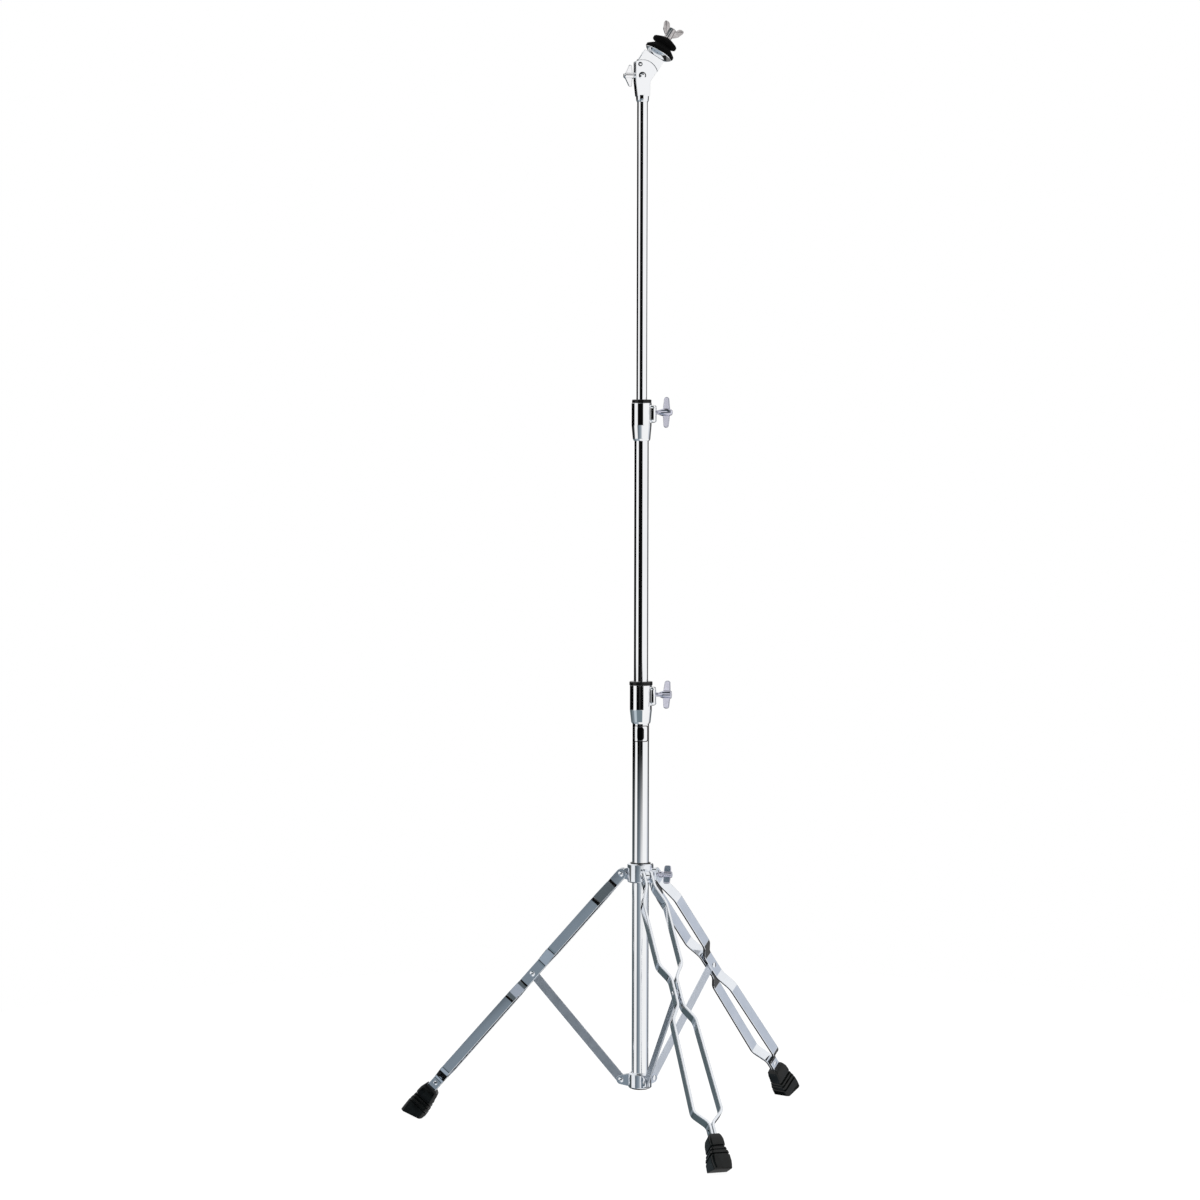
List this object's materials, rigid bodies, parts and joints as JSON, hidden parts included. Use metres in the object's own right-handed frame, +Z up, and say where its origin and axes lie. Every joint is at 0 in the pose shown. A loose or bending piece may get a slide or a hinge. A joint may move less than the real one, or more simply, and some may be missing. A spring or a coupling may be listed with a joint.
{
  "type": "straight cymbal stand",
  "caption": "Straight cymbal stand with folding double-braced legs, telescoping tubes held by wing-bolt clamps, and a hinged tilter with cup, felts and wing nut.",
  "frame": {"origin": "centre of the base plug underside, on the axis of the tubes", "axes": "+Z up the tubes, +X towards the wing bolts of the two tube clamps, -X along the first leg"},
  "size_m": [0.5519, 0.6372, 1.6353],
  "materials": {
    "chrome": "bright chrome plate on steel",
    "satin_nickel": "satin plated steel strip",
    "cast_zinc": "satin plated zinc casting",
    "black_nylon": "moulded black nylon, half gloss",
    "foot_rubber": "moulded black rubber, matte",
    "black_felt": "pressed black felt",
    "label_foil": "blank metallised label with a bright border"
  },
  "bodies": {
    "base": {"base_tube": "chrome", "base_plug": "black_nylon", "blank_label": "label_foil", "lower_clamp": "chrome", "lower_bushing": "black_nylon", "strut_collar": "satin_nickel", "strut_rivet_1": "satin_nickel", "strut_rivet_2": "satin_nickel", "strut_rivet_3": "satin_nickel"},
    "strut_1_body": {"strut_1": "satin_nickel"},
    "leg_1": {"leg_1_strap_a": "satin_nickel", "leg_1_strap_b": "satin_nickel", "leg_1_pivot_rivet": "satin_nickel", "leg_1_mid_rivet": "satin_nickel", "leg_1_end_rivet": "satin_nickel", "foot_1": "foot_rubber"},
    "strut_2_body": {"strut_2": "satin_nickel"},
    "leg_2": {"leg_2_strap_a": "satin_nickel", "leg_2_strap_b": "satin_nickel", "leg_2_pivot_rivet": "satin_nickel", "leg_2_mid_rivet": "satin_nickel", "leg_2_end_rivet": "satin_nickel", "foot_2": "foot_rubber"},
    "strut_3_body": {"strut_3": "satin_nickel"},
    "leg_3": {"leg_3_strap_a": "satin_nickel", "leg_3_strap_b": "satin_nickel", "leg_3_pivot_rivet": "satin_nickel", "leg_3_mid_rivet": "satin_nickel", "leg_3_end_rivet": "satin_nickel", "foot_3": "foot_rubber"},
    "leg_collar_body": {"leg_collar": "satin_nickel", "leg_collar_liner": "black_nylon"},
    "mid_slider": {"mid_glide": "black_nylon"},
    "mid_column": {"mid_tube": "chrome", "upper_clamp": "chrome", "upper_bushing": "black_nylon"},
    "upper_slider": {"upper_glide": "black_nylon"},
    "upper_column": {"upper_tube": "chrome", "tilter_base": "chrome", "tilter_pivot_pin": "chrome"},
    "lower_pad_body": {"lower_pad": "black_nylon"},
    "lower_bolt_body": {"lower_wing_bolt": "cast_zinc"},
    "upper_pad_body": {"upper_pad": "black_nylon"},
    "upper_bolt_body": {"upper_wing_bolt": "cast_zinc"},
    "leg_collar_pad_body": {"leg_collar_pad": "black_nylon"},
    "leg_collar_bolt_body": {"leg_collar_wing_bolt": "cast_zinc"},
    "tilter_pad_body": {"tilter_lock_pad": "black_nylon"},
    "tilter_bolt_body": {"tilter_wing_bolt": "cast_zinc"},
    "tilt_head": {"tilter_head": "chrome", "cymbal_rod": "chrome", "seat_cup": "chrome", "cymbal_sleeve": "black_nylon", "lower_felt": "black_felt"},
    "upper_felt_body": {"upper_felt": "black_felt"},
    "wing_nut_body": {"wing_nut": "cast_zinc"}
  },
  "joints": [
    {"name": "strut_1_fold", "type": "hinge", "parent": "base", "child": "strut_1_body", "pos_m": [-0.0282, 0, 0.0127], "axis": [0, 1, 0], "range_deg": [-6, 37]},
    {"name": "leg_1_fold", "type": "hinge", "parent": "strut_1_body", "child": "leg_1", "pos_m": [-0.16304, 0, 0.16645], "axis": [0, 1, 0], "range_deg": [-74, 12]},
    {"name": "strut_2_fold", "type": "hinge", "parent": "base", "child": "strut_2_body", "pos_m": [0.0141, 0.02442, 0.0127], "axis": [0.866, -0.5, 0], "range_deg": [-6, 37]},
    {"name": "leg_2_fold", "type": "hinge", "parent": "strut_2_body", "child": "leg_2", "pos_m": [0.08152, 0.14119, 0.16645], "axis": [0.866, -0.5, 0], "range_deg": [-74, 12]},
    {"name": "strut_3_fold", "type": "hinge", "parent": "base", "child": "strut_3_body", "pos_m": [0.0141, -0.02442, 0.0127], "axis": [-0.866, -0.5, 0], "range_deg": [-6, 37]},
    {"name": "leg_3_fold", "type": "hinge", "parent": "strut_3_body", "child": "leg_3", "pos_m": [0.08152, -0.14119, 0.16645], "axis": [-0.866, -0.5, 0], "range_deg": [-74, 12]},
    {"name": "leg_collar_pivot", "type": "hinge", "parent": "leg_1", "child": "leg_collar_body", "pos_m": [-0.0282, 0, 0.3202], "axis": [0, 1, 0], "range_deg": [-6, 37]},
    {"name": "mid_height", "type": "slide", "parent": "base", "child": "mid_slider", "axis": [0, 0, 1], "range_m": [-0.35, 0.04]},
    {"name": "mid_swivel", "type": "hinge", "parent": "mid_slider", "child": "mid_column", "pos_m": [0, 0, 0.5], "axis": [0, 0, 1], "range_deg": [-180, 180]},
    {"name": "upper_height", "type": "slide", "parent": "mid_column", "child": "upper_slider", "axis": [0, 0, 1], "range_m": [-0.42, 0.03]},
    {"name": "upper_swivel", "type": "hinge", "parent": "upper_slider", "child": "upper_column", "pos_m": [0, 0, 0.95], "axis": [0, 0, 1], "range_deg": [-180, 180]},
    {"name": "lower_pad_release", "type": "slide", "parent": "base", "child": "lower_pad_body", "axis": [1, 0, 0], "range_m": [0, 0.002]},
    {"name": "lower_bolt_turn", "type": "hinge", "parent": "lower_pad_body", "child": "lower_bolt_body", "pos_m": [0, 0, 0.5869], "axis": [1, 0, 0], "range_deg": [-1, 721]},
    {"name": "upper_pad_release", "type": "slide", "parent": "mid_column", "child": "upper_pad_body", "axis": [1, 0, 0], "range_m": [0, 0.002]},
    {"name": "upper_bolt_turn", "type": "hinge", "parent": "upper_pad_body", "child": "upper_bolt_body", "pos_m": [0, 0, 1.0031], "axis": [1, 0, 0], "range_deg": [-1, 721]},
    {"name": "leg_collar_pad_release", "type": "slide", "parent": "leg_collar_body", "child": "leg_collar_pad_body", "axis": [1, 0, 0], "range_m": [0, 0.002]},
    {"name": "leg_collar_bolt_turn", "type": "hinge", "parent": "leg_collar_pad_body", "child": "leg_collar_bolt_body", "pos_m": [0, 0, 0.3202], "axis": [1, 0, 0], "range_deg": [-1, 721]},
    {"name": "tilter_pad_release", "type": "slide", "parent": "upper_column", "child": "tilter_pad_body", "axis": [-0.9063, -0.4226, 0], "range_m": [0, 0.001]},
    {"name": "tilter_bolt_turn", "type": "hinge", "parent": "tilter_pad_body", "child": "tilter_bolt_body", "pos_m": [0, 0, 1.4963], "axis": [-0.9063, -0.4226, 0], "range_deg": [-1, 451]},
    {"name": "cymbal_tilt", "type": "hinge", "parent": "upper_column", "child": "tilt_head", "pos_m": [-0.00181, -0.00085, 1.4963], "axis": [-0.4226, 0.9063, 0], "range_deg": [-29, 44]},
    {"name": "felt_lift", "type": "slide", "parent": "tilt_head", "child": "upper_felt_body", "axis": [0.4668, 0.2177, 0.8572], "range_m": [0, 0.0075]},
    {"name": "wing_nut_turn", "type": "hinge", "parent": "upper_felt_body", "child": "wing_nut_body", "pos_m": [0.03008, 0.01403, 1.54516], "axis": [0.4668, 0.2177, 0.8572], "range_deg": [-1, 2161]}
  ],
  "couplings": [
    {"joint": "leg_1_fold", "follows": "strut_1_fold", "ratio": -2},
    {"joint": "strut_2_fold", "follows": "strut_1_fold", "ratio": 1},
    {"joint": "leg_2_fold", "follows": "strut_1_fold", "ratio": -2},
    {"joint": "strut_3_fold", "follows": "strut_1_fold", "ratio": 1},
    {"joint": "leg_3_fold", "follows": "strut_1_fold", "ratio": -2},
    {"joint": "leg_collar_pivot", "follows": "strut_1_fold", "ratio": 1},
    {"joint": "lower_bolt_turn", "follows": "lower_pad_release", "rad_per_m": 6283.2},
    {"joint": "upper_bolt_turn", "follows": "upper_pad_release", "rad_per_m": 6283.2},
    {"joint": "leg_collar_bolt_turn", "follows": "leg_collar_pad_release", "rad_per_m": 6283.2},
    {"joint": "tilter_bolt_turn", "follows": "tilter_pad_release", "rad_per_m": 7854},
    {"joint": "wing_nut_turn", "follows": "felt_lift", "rad_per_m": 5026.5}
  ]
}
